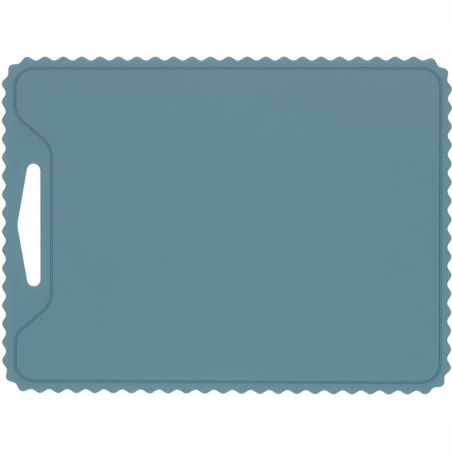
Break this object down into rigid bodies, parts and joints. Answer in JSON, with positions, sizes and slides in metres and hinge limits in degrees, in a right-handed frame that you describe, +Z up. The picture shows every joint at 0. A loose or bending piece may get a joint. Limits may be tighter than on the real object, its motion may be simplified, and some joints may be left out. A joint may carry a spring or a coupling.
{
  "type": "silicone cutting board",
  "caption": "Flat rectangular silicone cutting board with a scalloped edge, a hand slot at one end and a juice groove that steps in round the slot.",
  "frame": {"origin": "middle of the underside", "axes": "+Z up out of the cutting face, +X along the length away from the hand slot, +Y along the width"},
  "size_m": [0.36, 0.27, 0.004],
  "materials": {
    "silicone": "matte moulded silicone, grey blue",
    "core": "pressed glass-fibre laminate"
  },
  "bodies": {
    "root": {"base_tray": "silicone", "core_plate": "core", "cutting_face": "silicone"}
  },
  "joints": []
}
